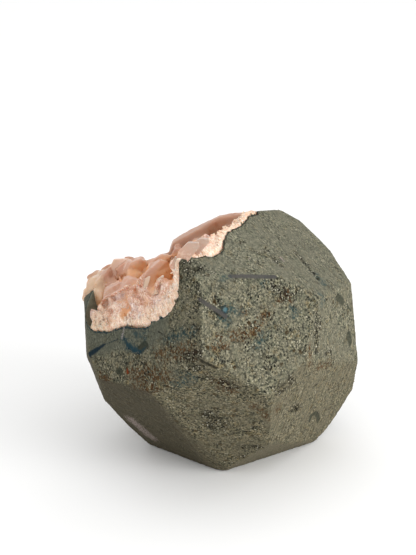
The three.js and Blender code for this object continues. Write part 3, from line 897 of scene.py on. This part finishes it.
def spread_over(mesh, wanted, count, chance):
    """Places spread evenly at random over a mesh's faces that are wanted, with each normal."""
    faces = [face for face in mesh.polygons if wanted(face)]
    areas = np.cumsum([face.area for face in faces])
    spots = []
    for _ in range(count):
        face = faces[int(np.searchsorted(areas, chance.random() * areas[-1]))]
        a, b, c = (mesh.vertices[i].co for i in face.vertices)
        u, v = chance.random(), chance.random()
        if u + v > 1:
            u, v = 1 - u, 1 - v
        spots.append((a + (b - a) * u + (c - a) * v, face.normal.copy()))
    return spots


def on_cut_face(face):
    """Whether a face of the crust lies in one of the flats that the saw cut through it."""
    over = (height_over(flat, face.center) for flat in CUT_FACES)
    return any(abs(height) < 0.4 and face.normal.dot(outward) > 0.99
               for height, outward in over)


def along_cut(stone, tries, chance):
    """Places on the crust's cut faces: each with its normal, depth in mm and way inward."""
    for place, normal in spread_over(crust_source.data, on_cut_face, tries, chance):
        root, _, _, depth = stone.find_nearest(place)
        inward = (place - root).normalized()
        yield place, normal, depth / MM, (inward - normal * inward.dot(normal)).normalized()


def sway(chance, most):
    return Vector([chance.uniform(-most, most) for _ in range(3)])


def around_bowl(points):
    """How far round the hollow each point is, in millimetres."""
    axis = np.array(facing(BOWL_LEAN_TURN, 90 - BOWL_LEAN))
    right = np.array((1, 0, 0)) - axis * axis[0]
    right /= np.linalg.norm(right)
    out = points / MM - np.array(BOWL_CENTRE)
    return np.arctan2(out @ np.cross(axis, right), out @ right) * BOWL_REACH


def note_places(piece, stone):
    """Keeps on a piece of the crust how it lies: round the hollow, off the stone, how deep."""
    points = places_of(piece)
    x, y, _ = points.T / MM
    note_on(
        piece,
        depth=[stone.find_nearest(point)[3] / MM for point in points],
        around=around_bowl(points),
        deep=depth_in_hull(points),
        cut=1 - smooth_step(depth_under(CUT_FACES, points), 1.2, 4.0),
        amber=stroke_distance(points, AMBER),
        far=np.maximum(smooth_step(y + x * 0.4, 2, 14), smooth_step(-x, 36, 44) * 0.8))


def break_up(wall, stone):
    """Breaks the cut face of the crust into facets that run out of the stone like columns."""
    points = places_of(wall)
    normals = normals_of(wall)
    depth = np.array([stone.find_nearest(point)[3] for point in points]) / MM
    along = around_bowl(points)
    chance = np.random.RandomState(3)
    column = np.floor(along / FACET_WIDTH).astype(int) % FACET_COLUMNS
    along_in = along % FACET_WIDTH / FACET_WIDTH - 0.5
    shifted = depth + chance.rand(FACET_COLUMNS)[column] * FACET_LENGTH
    row = np.floor(shifted / FACET_LENGTH).astype(int) % FACET_ROWS
    depth_in = shifted % FACET_LENGTH / FACET_LENGTH - 0.5
    level, lean, slope = (chance.rand(FACET_COLUMNS, FACET_ROWS) for _ in range(3))
    facet = level[column, row] * 1.2 + (lean[column, row] - 0.5) * 1.8 * along_in
    facet += (slope[column, row] - 0.5) * 1.6 * depth_in
    sunk = np.clip(facet, 0, 1.8) * smooth_step(depth, 1.5, 5)
    sunk += (1 - smooth_step(depth, 0.1, 0.4)) * 0.6
    sunk += smooth_step(depth, 3.0, 11) * 3.0
    sunk += smooth_step(points[:, 0] / MM, -6, 3) * smooth_step(depth, 1.8, 4.0) * 4.0
    for face in CUT_FACES:
        height, outward = height_over(face, points)
        hit = (np.abs(height) < 0.9) * smooth_step(normals @ outward, 0.6, 0.9)
        points -= outward * (hit * sunk * MM)[:, None]
    move_to(wall, points)


def soften_far_side(wall):
    """The crust's far walls are smooth and lumpy, with no sharp crystals."""
    points = places_of(wall)
    far = smooth_step(points[:, 1] / MM + points[:, 0] / MM * 0.2, -6, 8) * 0.8
    far = np.maximum(far, smooth_step(-points[:, 0] / MM, 41, 46))
    weigh(wall, "softened", far, 5)
    finish_with(wall, "SMOOTH", factor=0.6, iterations=6, vertex_group="softened")
    roughen(wall, "lumps", 6, 1.2, mid_level=0.5, vertex_group="softened")


def keep_in_hull(piece, flat_slack, mouth_slack):
    """Draws back whatever stands out of the flats or the broken mouth, in millimetres."""
    points = places_of(piece)
    for faces, slack in ((FLATS.values(), flat_slack), (MOUTH_BREAKS, mouth_slack)):
        for face in faces:
            height, outward = height_over(face, points)
            points -= outward * (np.maximum(height - slack, 0) * MM)[:, None]
    move_to(piece, points)


def clear_of_stone(crystal, stone, crust):
    """How much of a crystal is off the stone, under the flats and within the crust's rim."""
    points = places_of(crystal)
    heart = heart_of_bowl()
    under = depth_under(FLATS.values(), points) > 0.3
    below = depth_under(MOUTH_BREAKS, points) > -1.2
    clear = 0
    for point in points[under & below]:
        place, outward, _, _ = stone.find_nearest(point)
        if (Vector(point) - place).dot(outward) <= 0:
            continue
        rim = crust.find_nearest(point)[0]
        clear += (Vector(point) - heart).length < (rim - heart).length + CRYSTAL_OVERHANG * MM
    return clear / len(points)


def lining_crystals(wall, stone, crust, shapes, chance):
    """Crystals that line the hollow, still apart."""
    heart = heart_of_bowl()

    def inside(face):
        return (not on_cut_face(face)
                and face.center.y < 12 * MM
                and stone.find_nearest(face.center)[3] > 2.6 * MM
                and face.normal.dot(heart - face.center) > -2 * MM)

    copies = []
    for place, normal in spread_over(wall.data, inside, LINING_TRIES, chance):
        direction = normal * 0.8 + (heart - place).normalized() * 0.7 + sway(chance, 0.6)
        length = chance.uniform(*LINING_LENGTH)
        start = place - direction.normalized() * length * 0.6 * MM
        size = [length * chance.uniform(0.8, 1.6) * MM for _ in range(2)] + [length * MM]
        copies.append(stand(
            chance.choice(shapes), start, direction, size,
            chance.uniform(0, ANY_ROLL), chance.uniform(0, 1)))
    buried = [copy for copy in copies if clear_of_stone(copy, stone, crust) < LINING_CLEAR]
    kept = [copy for copy in copies if copy not in buried]
    drop(buried)
    return kept


def edge_crystals(stone, shapes, chance):
    """Crystals along the cut edge of the crust, still apart."""
    copies = []
    for place, normal, depth, inward in along_cut(stone, EDGE_TRIES, chance):
        if depth < 3.0 or place.x > 2 * MM:
            continue
        leaning = sway(chance, 0.6)
        length = chance.uniform(*EDGE_LENGTH)
        sunk = chance.uniform(1.6, 4.4) + min(depth - 3, 6) * 0.3
        start = place - inward * length * 0.5 * MM - normal * sunk * MM
        wide = length * chance.uniform(0.7, 1.6)
        size = [wide * MM, length * chance.uniform(1.0, 1.8) * MM, length * MM]
        copies.append(stand(
            chance.choice(shapes), start, inward + leaning, size, chance.uniform(-0.5, 0.5),
            chance.uniform(0, 1), normal + leaning))
        keep_in_hull(copies[-1], -EDGE_SUNK, ROOM_AT_MOUTH)
    return copies


def grown_crystals(wall, stone):
    """All that grows on the crust's wall, still apart."""
    chance = random.Random(11)
    shapes = crystal_shapes()
    stout = [shapes["wedge"], shapes["block"]]
    crust = surface_of(crust_source)
    copies = lining_crystals(wall, stone, crust, stout, chance)
    copies += edge_crystals(stone, list(shapes.values()), chance)
    copies += seen_crystals(FAR_CRYSTALS, crust, shapes)
    for *middle, size in LOBE_LUMPS:
        size *= MM
        start = Vector(middle) * MM - Vector((0, 0, size / 2))
        copies.append(stand(
            shapes["block"], start, Vector((0.2, 0.1, 1)), (size * 1.6, size * 1.8, size),
            chance.uniform(0, ANY_ROLL), 0.5))
    drop(shapes.values())
    return copies


def swell(wall):
    """Heaps the crust up unevenly on the inside of the hollow."""
    points = places_of(wall)
    thick = facing_heart(wall) * smooth_step(depth_in_hull(points), 0.5, 3)
    thick *= 1 - smooth_step(points[:, 0] / MM, -14, 2) * 0.7
    weigh(wall, "swollen", thick, 8)
    roughen(wall, "heaps", HEAP_SIZE, HEAP_HEIGHT, mid_level=0.0, vertex_group="swollen")
    wall.vertex_groups.remove(wall.vertex_groups["swollen"])


def take_tints(wall, grown):
    """Gives each part of the wall the tint of the crystal it grew out of."""
    tints = np.empty(len(grown.data.vertices), dtype=np.float32)
    grown.data.attributes["tint"].data.foreach_get("value", tints)
    surface = surface_of(grown)
    faces = [surface.find_nearest(point)[2] for point in places_of(wall)]
    corners = [grown.data.polygons[face].vertices[0] for face in faces]
    note_on(wall, tint=tints[corners])


def make_wall(stone):
    wall = merged_copy("heulandite_crust", "crust_wall")
    remesh(wall, BARE_CRUST_VOXEL, 1)
    swell(wall)
    break_up(wall, stone)
    note_on(wall, tint=0.2)
    finish_with(wall, "TRIANGULATE")
    grown = join([wall, *grown_crystals(wall, stone)], "grown")
    wall = copy_of(grown)
    wall.name = "crust_wall"
    finish_with(wall, "REMESH", mode="VOXEL", voxel_size=CRUST_VOXEL * MM)
    soften_far_side(wall)
    finish_with(wall, "SMOOTH", factor=0.5, iterations=1)
    wall.data.calc_loop_triangles()
    finish_with(wall, "DECIMATE", ratio=CRUST_TRIANGLES / len(wall.data.loop_triangles))
    wall.data.validate()
    take_tints(wall, grown)
    drop([grown])
    note_places(wall, stone)
    select_only(wall)
    bpy.ops.object.shade_smooth()
    return wall


def make_fibres(stone):
    """The fine fibres of the crust where the saw cut through it."""
    chance = random.Random(5)
    shape = cut_crystal("splinter")
    copies = []
    for place, normal, depth, inward in along_cut(stone, FIBRE_TRIES, chance):
        if depth > chance.uniform(2.0, 6) or depth < 0.4:
            continue
        if place.x > -6 * MM and depth > 1.8:
            continue
        direction = inward + sway(chance, 0.5) + normal * chance.uniform(-0.15, 0.05)
        length = chance.uniform(*FIBRE_LENGTH)
        sunk = chance.uniform(0.4, 0.65) + max(depth - 3, 0) * 0.2
        wide = chance.uniform(1.8, 3.6)
        start = place - inward * length * 0.5 * MM - normal * sunk * MM
        if stone.find_nearest(start)[3] < 0.4 * MM:
            start = place - inward * (depth - 0.4) * MM - normal * sunk * MM
        copies.append(stand(
            shape, start, direction, (wide * MM, wide * MM, length * MM),
            chance.uniform(0, ANY_ROLL), chance.uniform(0, 1)))
    drop([shape])
    fibres = join(copies, "rim_fibres")
    keep_in_hull(fibres, 0.2, 1.5)
    return fibres


def seen_from_camera(x, y):
    """The camera's place in metres, and the way from it to a point of its view."""
    tilt = math.radians(CAMERA_DOWN)
    ahead = Vector((0, math.cos(tilt), -math.sin(tilt)))
    upward = Vector((0, math.sin(tilt), math.cos(tilt)))
    reach = CAMERA_LENS / CAMERA_SENSOR * VIEW_HEIGHT
    across = (x - VIEW_WIDTH / 2) / reach
    up = (VIEW_HEIGHT / 2 - y) / reach
    way = ahead + Vector((1, 0, 0)) * across + upward * up
    return Vector(CAMERA_PLACE) * MM, way.normalized()


def seen_crystals(crystals, surface, shapes):
    """Crystals whose roots stand on a surface where the camera sees them, still apart."""
    copies = []
    for kind, x0, y0, x1, y1, width, thickness, tint, front in crystals:
        eye, way = seen_from_camera(x0, y0)
        root = surface.ray_cast(eye, way)[0]
        if root is None:
            continue
        to_tip = seen_from_camera(x1, y1)[1] - way
        tip = root + to_tip * (root - eye).length - way * front * MM
        direction = tip - root
        wide, thick, _ = shapes[kind].dimensions
        size = (width * MM / wide, thickness * MM / thick, direction.length * 1.15)
        start = root - direction * 0.15 + way * thickness * 0.3 * MM
        copies.append(stand(shapes[kind], start, direction, size, 0, tint, way))
    return copies


def make_standing_crystals(wall):
    shapes = crystal_shapes()
    copies = seen_crystals(STANDING_CRYSTALS, surface_of(wall), shapes)
    drop(shapes.values())
    return join(copies, "standing_crystals")


def make_crust(nodule):
    stone = surface_of(nodule)
    wall = make_wall(stone)
    fibres = make_fibres(stone)
    crystals = make_standing_crystals(wall)
    note_places(fibres, stone)
    note_places(crystals, stone)
    broken = wall_finish()
    for piece, finish in ((wall, broken), (fibres, broken), (crystals, blade_finish())):
        piece.data.materials.append(finish)
        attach(piece, "root")
        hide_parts("heulandite_crust")


# -------- the studio

def make_floor():
    bpy.ops.mesh.primitive_plane_add(size=12, location=(0, 0, -0.1 * MM))
    floor = bpy.context.object
    floor.name = "floor"
    material, shader, place = new_finish("pale_floor")
    place.fill(shader, {"Base Color": (0.9, 0.9, 0.895, 1), "Roughness": 0.9})
    floor.data.materials.append(material)


def make_light(name, turn, tilt, distance, size, power):
    lamp = bpy.data.lights.new(name, "AREA")
    lamp.shape = "DISK"
    lamp.size = size
    lamp.energy = power
    lamp_object = bpy.data.objects.new(name, lamp)
    outward = facing(turn, tilt)
    lamp_object.location = outward * distance + Vector((0, 0, 0.045))
    lamp_object.rotation_euler = outward.to_track_quat("Z", "Y").to_euler()
    put_in_scene(lamp_object)


def make_studio():
    make_floor()
    world = bpy.data.worlds.new("studio")
    world.use_nodes = True
    sockets = world.node_tree.nodes["Background"].inputs
    sockets["Color"].default_value = (1, 1, 1, 1)
    sockets["Strength"].default_value = 1.1
    bpy.context.scene.world = world
    make_light("window", turn=62, tilt=18, distance=0.9, size=0.5, power=5)
    bpy.context.scene.view_settings.view_transform = "Standard"


def make_camera():
    camera = bpy.data.cameras.new("camera")
    camera.lens = CAMERA_LENS
    camera.clip_start = 0.01
    camera_object = bpy.data.objects.new("camera", camera)
    camera_object.location = Vector(CAMERA_PLACE) * MM
    camera_object.rotation_euler = (math.radians(90 - CAMERA_DOWN), 0, 0)
    put_in_scene(camera_object)
    bpy.context.scene.camera = camera_object


crust_source = merged_copy("heulandite_crust", "crust_source")
make_crust(make_nodule())
drop([crust_source])
make_studio()
make_camera()
